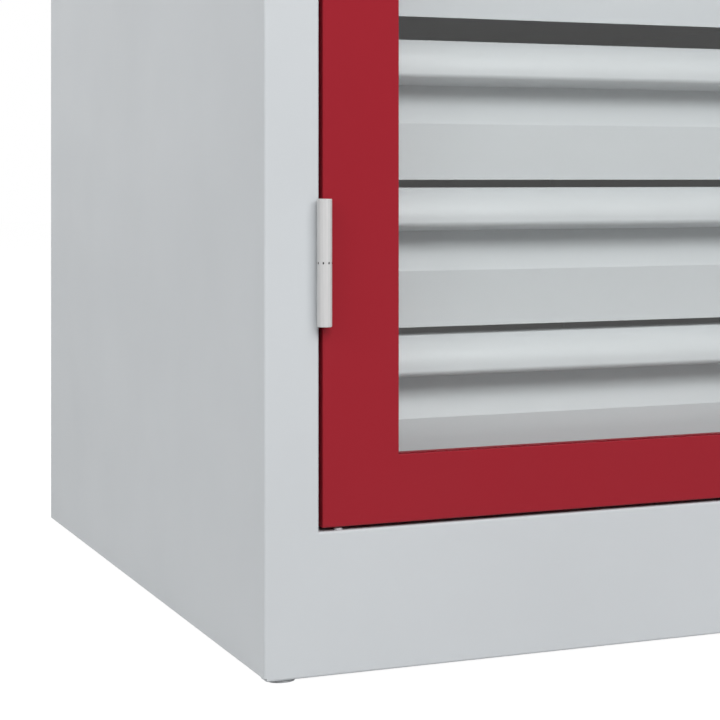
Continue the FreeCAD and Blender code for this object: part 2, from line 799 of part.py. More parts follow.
def make_glazing():
    """The window seal, the pane and the four strips that hold it, with their screws."""
    seal_start = front + d.skin
    seal = new_body("window_seal", y=seal_start)
    outlines = [window_rectangle(d.pane_lap), window_rectangle(ZERO)]
    ring = sketch(seal, "window_seal_ring", "XZ_Plane", outlines)
    pad(seal, ring, d.seal_plate, True)
    keep(seal, "window_seal")

    pane_start = seal_start + d.seal_plate
    pane = box(
        "window_pane",
        (window_left - d.pane_lap, pane_start, window_bottom - d.pane_lap),
        (window_right + d.pane_lap, pane_start + d.pane_plate, window_top + d.pane_lap),
    )
    keep(pane, "window_pane")

    start = pane_start + d.pane_plate
    end = start + d.strip_plate
    far = d.pane_recess
    near = d.strip_cover
    upright = {
        "left": (window_left - far, window_left + near),
        "right": (window_right - near, window_right + far),
    }
    level = {
        "bottom": (window_bottom - far, window_bottom + near),
        "top": (window_top - near, window_top + far),
    }
    screws = []
    for name, (low, high) in level.items():
        blank = box(
            f"pane_strip_{name}_blank", (window_left - far, start, low), (window_right + far, end, high)
        )
        z = window_bottom - d.screw_lap if name == "bottom" else window_top + d.screw_lap
        run = window_right - window_left - 2 * d.screw_inset
        places = [
            (window_left + d.screw_inset + spread, z) for spread in spaced(run, WIDE_SCREW_COUNT)
        ]
        screws += drill_strip(f"pane_strip_{name}", blank, places, start, end)
    for name, (low, high) in upright.items():
        blank = box(
            f"pane_strip_{name}_blank",
            (low, start, window_bottom + near), (high, end, window_top - near),
        )
        x = window_left - d.screw_lap if name == "left" else window_right + d.screw_lap
        run = window_top - window_bottom - 2 * d.screw_inset
        places = [
            (x, window_bottom + d.screw_inset + spread) for spread in spaced(run, HIGH_SCREW_COUNT)
        ]
        screws += drill_strip(f"pane_strip_{name}", blank, places, start, end)
    keep(group("pane_screws", screws), "pane_screws")


def drill_strip(label, blank, places, start, end):
    """Drill a pane strip and return the screws that hold it."""
    holes = []
    screws = []
    shank_start = front + d.skin
    hole_radius = d.screw_radius + d.screw_room
    for number, (x, z) in enumerate(places):
        holes.append(rod(f"{label}_hole_{number}", "Y", (x, start, z), end - start, hole_radius))
        shank = rod(
            f"{label}_shank_{number}", "Y", (x, shank_start, z), end - shank_start, d.screw_radius
        )
        head = rod(f"{label}_head_{number}", "Y", (x, end, z), d.screw_head, d.screw_head_radius)
        screws.append(fuse(f"{label}_screw_{number}", [shank, head]))
    keep(cut(label, blank, holes), label)
    return screws


def make_lock_plate():
    """The plate on the door that carries the handle's spindle."""
    body = new_body("lock_plate", x=lock_x, y=front, z=lock_z)
    wide = d.plate_width / 2
    high = d.plate_height / 2
    outline = rectangle(-wide, -high, wide, high)
    bore = [(ZERO, ZERO, d.spindle_radius + d.spindle_room)]
    face = sketch(body, "lock_plate_face", "XZ_Plane", [outline], bore)
    pad(body, face, d.plate_depth)
    round_edges(
        body, "lock_plate_corners", d.plate_corner,
        lambda edge: edge_runs(edge, "y") and lies_on(edge, -wide, wide, -high, high),
    )
    round_edges(
        body, "lock_plate_rim", d.plate_round,
        lambda edge: edge_lies(edge, "y", -d.plate_depth.value) and is_open(edge),
    )
    return keep(body, "lock_plate")


def make_handle():
    """The swinging handle, pointing to the hinge side while the rods are drawn in."""
    body = new_body("lock_handle", x=lock_x, y=front, z=lock_z)
    start = d.plate_depth + d.fit_gap
    hub_length = d.handle_reach - start
    hub = sketch(body, "lock_handle_hub", "XZ_Plane", circles=[(ZERO, ZERO, d.hub_radius)], lift=start)
    pad(body, hub, hub_length)
    root = d.lever_root / 2
    tip = d.lever_tip / 2
    end = tip - d.lever_length
    outline = [
        (ZERO, -root),
        (ZERO, root),
        (end, tip),
        (end - tip, ZERO, end, ZERO, tip),
        (end, -tip, end, ZERO, tip),
    ]
    lever = sketch(body, "lock_handle_lever", "XZ_Plane", [outline], lift=d.handle_reach - d.lever_depth)
    pad(body, lever, d.lever_depth)
    cylinder = [(ZERO, ZERO, d.cylinder_radius)]
    well = sketch(body, "lock_handle_well", "XZ_Plane", circles=cylinder, lift=d.handle_reach)
    pocket(body, well, d.cylinder_length)
    spindle = [(ZERO, ZERO, d.spindle_radius)]
    socket = sketch(
        body, "lock_handle_socket", "XZ_Plane", circles=spindle, lift=start + d.spindle_bite
    )
    pocket(body, socket, d.spindle_bite)
    round_edges(
        body, "lock_handle_soft", d.lever_round,
        lambda edge: edge_lies(edge, "y", -d.handle_reach.value) and is_open(edge),
    )
    return keep(body, "lock_handle")


def make_lock_cylinder():
    """The lock cylinder in the handle's hub, with its turning plug."""
    face = front - d.handle_reach
    shell = rod("lock_cylinder_blank", "Y", (lock_x, face, lock_z), d.cylinder_length, d.cylinder_radius)
    bore_length = d.cylinder_length - d.spindle_radius
    bore = rod("lock_cylinder_bore", "Y", (lock_x, face, lock_z), bore_length, d.plug_radius + d.plug_room)
    keep(cut("lock_cylinder", shell, [bore]), "lock_cylinder")
    plug_start = face + d.plug_recess
    plug_length = bore_length - d.plug_recess - d.fit_gap
    plug = rod("lock_plug_blank", "Y", (lock_x, plug_start, lock_z), plug_length, d.plug_radius)
    slot = box(
        "lock_plug_slot",
        (lock_x - d.key_slot_width / 2, plug_start, lock_z - d.key_slot_height / 2),
        (lock_x + d.key_slot_width / 2, plug_start + d.key_slot_depth, lock_z + d.key_slot_height / 2),
    )
    keep(cut("lock_plug", plug, [slot]), "lock_plug")


def make_lock_drive():
    """The spindle and the lock disc with its two rod pins."""
    spindle_start = front - d.plate_depth - d.fit_gap - d.spindle_bite
    spindle_end = front + d.disc_front + d.disc_plate
    spindle = rod(
        "lock_spindle", "Y", (lock_x, spindle_start, lock_z), spindle_end - spindle_start, d.spindle_radius
    )
    keep(spindle, "lock_spindle")
    disc_start = front + d.disc_front
    disc = rod("lock_disc_blank", "Y", (lock_x, disc_start, lock_z), d.disc_plate, d.disc_radius)
    bore = rod("lock_disc_bore", "Y", (lock_x, disc_start, lock_z), d.disc_plate, d.spindle_radius)
    plate = cut("lock_disc_plate", disc, [bore])
    pins = []
    for side in (-1, 1):
        place = (lock_x + side * crank_step(), spindle_end, lock_z - side * crank_step())
        pins.append(rod(
            f"lock_disc_pin_{side + 1}", "Y", place, d.crank_pin_length, d.crank_pin_radius
        ))
    keep(fuse("lock_disc", [plate] + pins), "lock_disc")


def crank_step():
    """How far a rod pin lies beside and below the lock axis, at rest."""
    return d.crank_radius * math.sin(math.radians(CRANK_ANGLE))


def make_rods():
    """The locking rods, drawn in, each with a slotted head on its disc pin."""
    for name, side, end in (("upper", 1, door_top - d.rod_back), ("lower", -1, door_bottom + d.rod_back)):
        slot_z = lock_z - side * crank_step()
        slot_half = d.crank_pin_radius + d.crank_room
        back_y = rod_front + d.rod_plate
        inner = lock_x + side * d.yoke_inner
        outer = lock_x + side * d.yoke_outer
        low_x, high_x = (inner, outer) if side > 0 else (outer, inner)
        rim = slot_half + d.yoke_rim
        head = box(f"{name}_rod_head", (low_x, rod_front, slot_z - rim), (high_x, back_y, slot_z + rim))
        bar_x = lock_x + side * d.rod_offset - d.rod_width / 2
        low_z, high_z = (slot_z, end) if side > 0 else (end, slot_z)
        bar = box(f"{name}_rod_bar", (bar_x, rod_front, low_z), (bar_x + d.rod_width, back_y, high_z))
        slot_inner = lock_x + side * (crank_step() - slot_half)
        slot_outer = lock_x + side * (d.crank_radius + slot_half)
        slot_low, slot_high = (slot_inner, slot_outer) if side > 0 else (slot_outer, slot_inner)
        slot = box(
            f"{name}_rod_slot",
            (slot_low, rod_front, slot_z - slot_half), (slot_high, back_y, slot_z + slot_half),
        )
        whole = fuse(f"{name}_rod_blank", [head, bar])
        keep(cut(f"{name}_rod", whole, [slot]), f"{name}_rod")


def make_rod_guides():
    """Guide blocks on the inner pan, two for each rod."""
    guides = []
    end_y = front + d.door_depth - d.skin
    for side, door_end in ((1, door_top), (-1, door_bottom)):
        x = lock_x + side * d.rod_offset
        for spot, z in (("near", lock_z + side * d.guide_near), ("far", door_end - side * d.guide_end)):
            name = f"rod_guide_{side + 1}_{spot}"
            reach = d.rod_width / 2 + d.fit_gap
            low_z = z - d.guide_length / 2
            high_z = z + d.guide_length / 2
            blank = box(
                f"{name}_blank",
                (x - reach - d.guide_wall, rod_front - d.fit_gap - d.guide_wall, low_z),
                (x + reach + d.guide_wall, end_y, high_z),
            )
            hole = box(
                f"{name}_hole",
                (x - reach, rod_front - d.fit_gap, low_z),
                (x + reach, rod_front + d.rod_plate + d.fit_gap, high_z),
            )
            guides.append(cut(name, blank, [hole]))
    return keep(group("rod_guides", guides), "rod_guides")


# Planes of the drawers.
wall_face = half - d.drawer_margin - d.front_overhang + d.slide_thickness
tray_face = half - d.drawer_margin - d.front_overhang
panel_y = front + d.drawer_setback
tray_front = panel_y + d.front_box
cover_top = d.cover_height
cover_under = cover_top - d.skin


def make_drawer_wall(label, side):
    """A wall beside the drawers, folded out to the side panel at the front and the back."""
    body = new_body(label, z=sill)
    casing = side * (half - d.skin)
    outer = side * (wall_face + d.skin)
    inner = side * wall_face
    start = panel_y
    end = back_inside
    profile = [
        (casing, start),
        (inner, start),
        (inner, end),
        (casing, end),
        (casing, end - d.skin),
        (outer, end - d.skin),
        (outer, start + d.skin),
        (casing, start + d.skin),
    ]
    plan = sketch(body, f"{label}_plan", "XY_Plane", [profile])
    pad(body, plan, cover_under - sill)
    return keep(body, label)


def make_cover():
    """The cover over the drawers, which is the floor of the space above."""
    plate = box(
        "drawer_cover_plate",
        (left + d.skin, panel_y, cover_under), (right - d.skin, back_inside, cover_top),
    )
    lip = box(
        "drawer_cover_lip",
        (-wall_face, panel_y, cover_under - d.cover_lip), (wall_face, panel_y + d.skin, cover_under),
    )
    return keep(fuse("drawer_cover", [plate, lip]), "drawer_cover")


def drawer_front_outline():
    """The side view of a drawer front: u runs back from its flat face, v up from its lower edge."""
    plate = d.front_plate
    box_back = d.front_box
    roll_y = d.roll_radius - d.roll_reach
    rise = d.front_height - d.roll_height
    roll_top = roll_y - root_of(d.roll_radius * d.roll_radius - rise * rise)
    inside = d.roll_radius - plate
    inside_rise = rise - plate
    inside_top = roll_y - root_of(inside * inside - inside_rise * inside_rise)
    lip_y = d.roll_lip - d.roll_reach
    return [
        (box_back, d.front_hem),
        (box_back, ZERO),
        (ZERO, ZERO),
        (ZERO, d.grip_start),
        (d.grip_root_depth, d.grip_root_height),
        (lip_y, d.roll_height - d.roll_lip),
        (-d.roll_reach, d.roll_height, lip_y, d.roll_height, d.roll_lip),
        (roll_top, d.front_height, roll_y, d.roll_height, d.roll_radius),
        (box_back, d.front_height),
        (box_back, d.front_height - d.front_hem),
        (box_back - plate, d.front_height - d.front_hem),
        (box_back - plate, d.front_height - plate),
        (inside_top, d.front_height - plate),
        (plate - d.roll_reach, d.roll_height, roll_y, d.roll_height, inside),
        (lip_y, d.roll_height - d.roll_lip + plate, lip_y, d.roll_height, d.roll_lip - plate),
        (d.grip_root_depth + plate, d.grip_root_height + plate),
        (plate, d.grip_start),
        (plate, plate),
        (box_back - plate, plate),
        (box_back - plate, d.front_hem),
    ]


def make_drawer_front(label, level):
    """A drawer front, folded from one sheet with its rolled grip."""
    body = new_body(label, x=d.drawer_margin - half, y=panel_y, z=level)
    side_view = sketch(body, f"{label}_section", "YZ_Plane", [drawer_front_outline()])
    pad(body, side_view, 2 * (half - d.drawer_margin))
    return keep(body, label)


def make_tray(label, level):
    """An open drawer tray."""
    low_z = level + d.tray_lift
    outer = box(
        f"{label}_outer", (-tray_face, tray_front, low_z),
        (tray_face, tray_front + d.tray_depth, low_z + d.tray_height),
    )
    inner = box(
        f"{label}_inner", (d.tray_plate - tray_face, tray_front + d.tray_plate, low_z + d.tray_plate),
        (tray_face - d.tray_plate, tray_front + d.tray_depth - d.tray_plate, low_z + d.tray_height),
    )
    return keep(cut(label, outer, [inner]), label)


def make_rail(name, side, web, flange, high, level):
    """A channel rail. web and flange are its reach from the wall, high is half its height."""
    middle = level + d.slide_centre
    start = tray_front + d.slide_start
    end = start + d.slide_length

    def slab(part, near, far, low_z, high_z):
        x_values = [side * (wall_face - near), side * (wall_face - far)]
        x_values.sort(key=lambda size: size.value)
        return box(f"{name}_{part}", (x_values[0], start, low_z), (x_values[1], end, high_z))

    return fuse(name, [
        slab("web", web[0], web[1], middle - high, middle + high),
        slab("low", flange[0], flange[1], middle - high, middle - high + d.slide_plate),
        slab("high", flange[0], flange[1], middle + high - d.slide_plate, middle + high),
    ])


def make_slides(label, level):
    """The two slides of a drawer, each with a fixed, a middle and a tray rail."""
    plate = d.slide_plate
    gap = d.fit_gap
    depth = d.slide_thickness
    fixed_high = d.slide_height / 2
    middle_high = fixed_high - plate - gap
    tray_high = middle_high - plate - gap
    lip_end = depth - plate - gap
    middle_web = plate + gap
    tray_web = depth - plate
    tray_lip = middle_web + plate + gap
    shapes = (
        ("fixed_rails", (ZERO, plate), (ZERO, lip_end), fixed_high),
        ("middle_rails", (middle_web, middle_web + plate), (middle_web, lip_end), middle_high),
        ("tray_rails", (tray_web, depth), (tray_lip, depth), tray_high),
    )
    for kind, web, flange, high in shapes:
        pair = [
            make_rail(f"{label}_{kind}_{side + 1}", side, web, flange, high, level) for side in (-1, 1)
        ]
        keep(group(f"{label}_{kind}", pair), f"{label}_{kind}")


def make_drawers():
    """Three drawers with their slides, from the lowest up."""
    for number in range(DRAWER_COUNT):
        level = d.first_drawer + number * d.drawer_pitch
        label = f"drawer_{number + 1}"
        make_drawer_front(f"{label}_front", level)
        make_tray(f"{label}_tray", level)
        make_slides(label, level)


def upright_places():
    """The front and the rear place of the uprights."""
    return (("front", front + d.upright_inset), ("rear", back - d.upright_inset - d.upright_width))


def make_upright(label, side, start):
    """A slotted upright against a side panel, between the cover and the top."""
    body = new_body(label, x=side * (half - d.skin), y=start, z=cover_top)
    web = -side * d.upright_depth
    web_back = -side * (d.upright_depth - d.skin)
    profile = [
        (ZERO, ZERO),
        (web, ZERO),
        (web, d.upright_width),
        (ZERO, d.upright_width),
        (ZERO, d.upright_width - d.skin),
        (web_back, d.upright_width - d.skin),
        (web_back, d.skin),
        (ZERO, d.skin),
    ]
    height = top - d.skin - d.panel_lip - cover_top
    plan = sketch(body, f"{label}_plan", "XY_Plane", [profile])
    pad(body, plan, height)
    edge = (d.upright_width - d.slot_width) / 2
    hole = rectangle(edge, d.slot_first, edge + d.slot_width, d.slot_first + d.slot_height)
    slot = sketch(body, f"{label}_slot", "YZ_Plane", [hole], lift=web)
    first = pocket(body, slot, two_skins, side > 0)
    count = int((height.value - 2 * d.slot_first.value) / d.slot_pitch.value) + 1
    row = body.newObject("PartDesign::LinearPattern", f"{label}_slots")
    row.Originals = [first]
    axis = next(item for item in body.Origin.OriginFeatures if item.Role == "Z_Axis")
    row.Direction = (axis, [""])
    row.Occurrences = count
    bind(row, "Length", d.slot_pitch * (count - 1))
    body.Tip = row
    return keep(body, label)


shelf_side = half - d.skin - d.upright_depth - d.shelf_room


def shelf_level(slot):
    """The underside of the shelf that hangs in a slot."""
    return cover_top + d.slot_first + slot * d.slot_pitch + d.clip_plate


def make_shelf(label, slot):
    """A shelf with folded edges and inward returns."""
    low = shelf_level(slot)
    high = low + d.shelf_edge
    start = front + d.shelf_front
    end = back_inside - d.shelf_back
    plate = d.shelf_plate
    outer = box(f"{label}_outer", (-shelf_side, start, low), (shelf_side, end, high))
    hollow = box(
        f"{label}_hollow", (plate - shelf_side, start + plate, low + plate),
        (shelf_side - plate, end - plate, high - plate),
    )
    fold = d.shelf_return
    mouth = box(
        f"{label}_mouth", (fold - shelf_side, start + fold, low),
        (shelf_side - fold, end - fold, low + plate),
    )
    return keep(cut(label, outer, [hollow, mouth]), label)


def make_shelf_clips():
    """Clips that hook into the uprights under each corner of each shelf."""
    clips = []
    for slot in SHELF_SLOTS:
        level = cover_top + d.slot_first + slot * d.slot_pitch
        for side in (-1, 1):
            for spot, start in upright_places():
                name = f"shelf_clip_{slot}_{side + 1}_{spot}"
                web_back = side * (half - d.upright_depth)
                rear = web_back + side * d.clip_back
                tip = side * (half - d.skin - d.upright_depth - d.clip_reach)
                low_y = start + (d.upright_width - d.clip_width) / 2
                high_y = low_y + d.clip_width
                tongue_x = sorted((rear, tip), key=lambda size: size.value)
                hook_x = sorted((rear, web_back), key=lambda size: size.value)
                tongue = box(
                    f"{name}_tongue",
                    (tongue_x[0], low_y, level), (tongue_x[1], high_y, level + d.clip_plate),
                )
                hook = box(
                    f"{name}_hook",
                    (hook_x[0], low_y, level - d.clip_hook), (hook_x[1], high_y, level),
                )
                clips.append(fuse(name, [tongue, hook]))
    return keep(group("shelf_clips", clips), "shelf_clips")


def make_upper_space():
    """Uprights, shelves and clips above the drawers."""
    for side, side_name in ((-1, "left"), (1, "right")):
        for spot, start in upright_places():
            make_upright(f"upright_{spot}_{side_name}", side, start)
    for number, slot in enumerate(SHELF_SLOTS, start=1):
        make_shelf(f"shelf_{number}", slot)
    make_shelf_clips()


def check_document():
    """Stop if any object failed or any sub-part isn't a sound solid."""
    doc.recompute()
    for item in doc.Objects:
        if "Invalid" in item.State or "Error" in item.State:
            raise RuntimeError(f"{item.Name} failed: {item.State}")
    for item in nodes:
        shape = item.Shape
        if shape.isNull() or not shape.isValid() or not shape.Solids:
            raise RuntimeError(f"{item.Label} has no sound solid")


def write_parts():
    """Write each sub-part to its own file."""
    os.makedirs("parts", exist_ok=True)
    for item in nodes:
        item.Shape.exportStep(f"parts/{item.Label}.step")
        print(item.Label, len(item.Shape.Solids), round(item.Shape.Volume / 1000, 2))


make_front_frame()
make_side_panel("left_side_panel", -1)
make_side_panel("right_side_panel", 1)
make_top_panel()
make_bottom_panel()
make_back_panel()
make_gussets()
make_feet()
make_hinges()
make_sill_pads()
make_door_buffers()
make_door_frame()
make_door_inner_frame()
make_glazing()
make_lock_plate()
make_handle()
make_lock_cylinder()
make_lock_drive()
make_rods()
make_rod_guides()
make_drawer_wall("left_drawer_wall", -1)
make_drawer_wall("right_drawer_wall", 1)
make_cover()
make_drawers()
make_upper_space()
check_document()
write_parts()
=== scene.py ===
"""Looks of a steel tool cabinet: camera, studio, finishes and the fine pieces on its solid model.

Lengths are metres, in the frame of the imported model: X to the right, Y to the back, Z up.
"""
import json
import math

import bmesh
import bpy
from mathutils import Matrix, Vector


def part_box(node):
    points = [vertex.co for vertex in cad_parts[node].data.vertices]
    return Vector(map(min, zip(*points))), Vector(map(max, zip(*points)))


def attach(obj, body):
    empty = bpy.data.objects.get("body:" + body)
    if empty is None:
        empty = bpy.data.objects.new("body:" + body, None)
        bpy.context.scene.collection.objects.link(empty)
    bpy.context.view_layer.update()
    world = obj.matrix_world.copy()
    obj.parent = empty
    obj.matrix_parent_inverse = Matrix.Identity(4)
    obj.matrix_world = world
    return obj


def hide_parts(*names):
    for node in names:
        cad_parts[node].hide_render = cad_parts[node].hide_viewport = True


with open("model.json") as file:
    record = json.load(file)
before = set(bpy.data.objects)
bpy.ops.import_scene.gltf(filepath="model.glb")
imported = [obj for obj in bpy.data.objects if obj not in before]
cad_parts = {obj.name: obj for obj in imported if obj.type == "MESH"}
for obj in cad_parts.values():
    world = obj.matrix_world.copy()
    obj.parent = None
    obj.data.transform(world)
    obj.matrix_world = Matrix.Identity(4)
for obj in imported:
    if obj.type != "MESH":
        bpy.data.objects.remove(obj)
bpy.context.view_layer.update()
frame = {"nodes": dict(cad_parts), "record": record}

MM = 0.001
MICRON = 0.001 * MM

# The photograph's view: a level camera left of the front, with the picture cropped to a low corner.
CAMERA_PLACE = Vector((-0.6867, -1.3817, 0.3217))
CAMERA_LOOK = Vector((0.37255, 0.92801, 0.0))
CAMERA_LENS = 92.116
CAMERA_SENSOR = 36.0
CAMERA_SHIFT = (0.0221, -0.2535)

# The light from all round, as a share of the white that the background shows.
WORLD_LIGHT = 0.16

# The floor: its half side, the tone that sends light back onto the cabinet, and what the eye sees,
# which is a glow with a darker tone on it that takes the shadows, fainter in reflections.
FLOOR_HALF = 12.0
FLOOR_BOUNCE = 0.55
FLOOR_SHADOWED = 0.22
FLOOR_GLOW = 0.96
FLOOR_IN_GLOSS = 0.7

# Soft square lamps: name, place, target, side and watts.
LAMPS = (
    ("right_lamp", (1.05, -3.0, 2.15), (0.0, -0.3, 0.35), 1.5, 39.5),
    ("left_lamp", (-0.7, -2.9, 2.3), (0.0, -0.3, 0.35), 1.5, 53.5),
    ("rear_lamp", (-2.9, 1.5, 1.9), (-0.3, 0.0, 0.4), 1.6, 42.0),
    ("side_lamp", (-2.9, -1.6, 2.0), (-0.2, -0.2, 0.4), 1.6, 22.0),
    ("top_lamp", (0.0, -1.2, 3.2), (0.0, -0.2, 0.4), 2.0, 11.0),
)

# Outlines of round pieces, from the bottom up: shares of the radius and of the height.
FOOT_OUTLINE = (
    (0.0, 0.0), (0.955, 0.0), (0.985, 0.04), (1.0, 0.12), (1.0, 0.3), (1.0, 0.58), (0.985, 0.62),
    (0.985, 0.66), (0.998, 0.7), (0.99, 0.8), (0.95, 0.95), (0.9, 1.0), (0.6, 1.0),
)
PAD_OUTLINE = (
    (0.0, 0.0), (0.9, 0.0), (1.0, 0.2), (0.98, 0.5), (0.86, 0.82), (0.62, 0.97), (0.3, 1.0),
    (0.0, 1.0),
)
BUFFER_OUTLINE = (
    (0.0, 0.0), (0.5, 0.0), (0.8, 0.04), (0.95, 0.12), (1.0, 0.26), (1.0, 0.5), (0.96, 0.56),
    (0.8, 0.62), (0.74, 0.7), (0.74, 0.82), (0.8, 0.88), (0.86, 0.92), (0.86, 1.0), (0.0, 1.0),
)

# A pan head's outline: shares of the radius, and heights above its seat.
SCREW_HEAD = (
    (0.97, 0.05 * MM), (1.0, 0.35 * MM), (0.97, 0.8 * MM), (0.88, 1.25 * MM), (0.76, 1.6 * MM),
    (0.62, 1.8 * MM),
)

# The window seal's outline: shares of the width from the window outwards, and of the thickness.
SEAL_OUTLINE = (
    (0.0, 0.5), (0.03, 0.2), (0.1, 0.0), (0.32, 0.0), (0.38, 0.25), (0.44, 0.0), (1.0, 0.0),
    (1.0, 1.0), (0.44, 1.0), (0.38, 0.75), (0.32, 1.0), (0.1, 1.0), (0.03, 0.8),
)

# The dark dots round each hinge split, painted shade of the gap between its knuckles, and the first
# one's angle from +X in degrees.
SHADE_DOTS = 8
FIRST_SHADE_DOT = 15.7

# Edges that turn by less than this are shaded smooth.
SMOOTH_BELOW = math.radians(35)

# Lays a piece that was drawn upright down, with its top to the back.
TOP_TO_BACK = Matrix.Rotation(math.radians(-90), 4, "X")


def linear(red, green, blue):
    """A colour from its 8-bit display values, by the sRGB curve."""
    def channel(value):
        share = value / 255
        return share / 12.92 if share <= 0.04045 else ((share + 0.055) / 1.055) ** 2.4
    return (channel(red), channel(green), channel(blue), 1.0)


def shade(colour, factor):
    """A colour made lighter or darker."""
    return tuple(min(1.0, channel * factor) for channel in colour[:3]) + (1.0,)


def grey(value):
    """A neutral colour."""
    return (value, value, value, 1.0)


class Nodes:
    """A small helper that adds and links shader nodes."""

    def __init__(self, tree):
        self.tree = tree
        tree.nodes.clear()

    def add(self, kind, **settings):
        """A node; a setting is an attribute, and inputs is a dict of values or output sockets."""
        node = self.tree.nodes.new(kind)
        inputs = settings.pop("inputs", {})
        for name, value in settings.items():
            setattr(node, name, value)
        for name, value in inputs.items():
            if isinstance(value, bpy.types.NodeSocket):
                self.tree.links.new(value, node.inputs[name])
            else:
                node.inputs[name].default_value = value
        return node

    def coordinates(self):
        """The piece's own coordinates, in metres."""
        return self.add("ShaderNodeTexCoord").outputs["Object"]

    def stretched(self, place, scale):
        """Coordinates with a scale for each axis."""
        inputs = {"Vector": place, "Scale": scale}
        return self.add("ShaderNodeMapping", inputs=inputs).outputs["Vector"]

    def noise(self, scale, detail=2.0, roughness=0.5, vector=None):
        """Soft random values between 0 and 1."""
        vector = vector or self.coordinates()
        inputs = {"Vector": vector, "Scale": scale, "Detail": detail, "Roughness": roughness}
        return self.add("ShaderNodeTexNoise", inputs=inputs).outputs["Fac"]

    def spread(self, value, low=0.0, high=1.0, start=0.3, end=0.7):
        """Map a value onto a range; a noise seldom leaves 0.3 to 0.7."""
        inputs = {"Value": value, "From Min": start, "From Max": end, "To Min": low, "To Max": high}
        return self.add("ShaderNodeMapRange", inputs=inputs).outputs["Result"]

    def calculate(self, operation, first, second):
        """The result of a step of arithmetic on two values."""
        inputs = {0: first, 1: second}
        return self.add("ShaderNodeMath", operation=operation, inputs=inputs).outputs[0]

    def blend(self, share, first, second):
        """A colour between two others."""
        node = self.add("ShaderNodeMix", data_type="RGBA")
        self.tree.links.new(share, node.inputs["Factor"])
        for name, colour in (("A", first), ("B", second)):
            socket = next(item for item in node.inputs if item.name == name and item.type == "RGBA")
            if isinstance(colour, bpy.types.NodeSocket):
                self.tree.links.new(colour, socket)
            else:
                socket.default_value = colour
        return next(item for item in node.outputs if item.type == "RGBA")

    def mottle(self, noise, first, second):
        """Two colours that a noise mixes."""
        return self.blend(self.spread(noise), first, second)

    def soft_edges(self, radius):
        """The surface's normal with its edges rounded in shading."""
        return self.add("ShaderNodeBevel", samples=4, inputs={"Radius": radius}).outputs["Normal"]

    def edge_mask(self, radius):
        """1 on the edges of a piece and 0 on its flat faces."""
        first_turn, full_turn = 0.02, 0.25
        inputs = {
            0: self.soft_edges(radius),
            1: self.add("ShaderNodeNewGeometry").outputs["Normal"],
        }
        node = self.add("ShaderNodeVectorMath", operation="DOT_PRODUCT", inputs=inputs)
        alike = node.outputs["Value"]
        return self.spread(alike, 1.0, 0.0, start=1.0 - full_turn, end=1.0 - first_turn)

    def bump(self, height, depth, normal):
        """A normal from a height, whose full range is the depth in metres."""
        inputs = {"Height": height, "Distance": depth, "Strength": 1.0, "Normal": normal}
        return self.add("ShaderNodeBump", inputs=inputs).outputs["Normal"]

    def surface(self, **inputs):
        """The main shader, linked to the output."""
        named = {name.replace("_", " "): value for name, value in inputs.items()}
        shader = self.add("ShaderNodeBsdfPrincipled", inputs=named)
        self.add("ShaderNodeOutputMaterial", inputs={"Surface": shader.outputs["BSDF"]})

    def mixed_surface(self, share, first, second, output="ShaderNodeOutputMaterial"):
        """Two shader nodes mixed by a share, linked to the output."""
        inputs = {0: share, 1: first.outputs[0], 2: second.outputs[0]}
        mixed = self.add("ShaderNodeMixShader", inputs=inputs)
        self.add(output, inputs={"Surface": mixed.outputs[0]})


def new_material(name):
    """An empty node material."""
    material = bpy.data.materials.new(name)
    material.use_nodes = True
    return material, Nodes(material.node_tree)


def powder_coat(name, colour, shine=0.5, peel=14 * MICRON, roughness=0.42):
    """Baked powder paint: fine orange peel, faint clouds in colour and gloss, and lighter edges,
    partly rubbing in patches and partly a painted highlight along every bend.
    """
    material, nodes = new_material(name)
    clouds = nodes.noise(scale=7.0, detail=3.0)
    cloudy = nodes.mottle(clouds, shade(colour, 0.985), shade(colour, 1.015))
    # Edges painted lighter: every edge gets at least a fifth of the lighter colour as a painted
    # highlight along the bends, and rubbing in patches lightens some further.
    edge_band = nodes.edge_mask(radius=0.7 * MM)
    patches = nodes.noise(scale=90.0, detail=4.0)
    edge_lightening = nodes.spread(patches, low=0.2, high=0.55, start=0.45, end=0.7)
    wear_and_highlight = nodes.calculate("MULTIPLY", edge_band, edge_lightening)
    painted = nodes.blend(wear_and_highlight, cloudy, shade(colour, 1.22))
    haze = nodes.noise(scale=16.0, detail=3.0)
    gloss = nodes.spread(haze, low=roughness - 0.035, high=roughness + 0.035)
    skin = nodes.noise(scale=900.0)
    normal = nodes.bump(skin, peel, nodes.soft_edges(radius=0.5 * MM))
    nodes.surface(Base_Color=painted, Roughness=gloss, Normal=normal, Specular_IOR_Level=shine)
    return material


def zinc_plate(name):
    """Bright zinc on steel with a faint spangle and fine draw lines."""
    material, nodes = new_material(name)
    place = nodes.coordinates()
    crystals = nodes.add("ShaderNodeTexVoronoi", inputs={"Vector": place, "Scale": 260.0})
    spangle = nodes.add("ShaderNodeRGBToBW", inputs={"Color": crystals.outputs["Color"]})
    share = nodes.spread(spangle.outputs["Val"], start=0.0, end=1.0)
    tone = nodes.blend(share, linear(176, 178, 180), linear(205, 206, 207))
    along_y = nodes.stretched(place, (1400.0, 30.0, 1400.0))
    drawn = nodes.noise(scale=1.0, vector=along_y)
    gloss = nodes.spread(nodes.noise(scale=60.0, detail=3.0), low=0.26, high=0.42)
    normal = nodes.bump(drawn, 5 * MICRON, nodes.soft_edges(radius=0.25 * MM))
    nodes.surface(Base_Color=tone, Metallic=1.0, Roughness=gloss, Normal=normal)
    return material


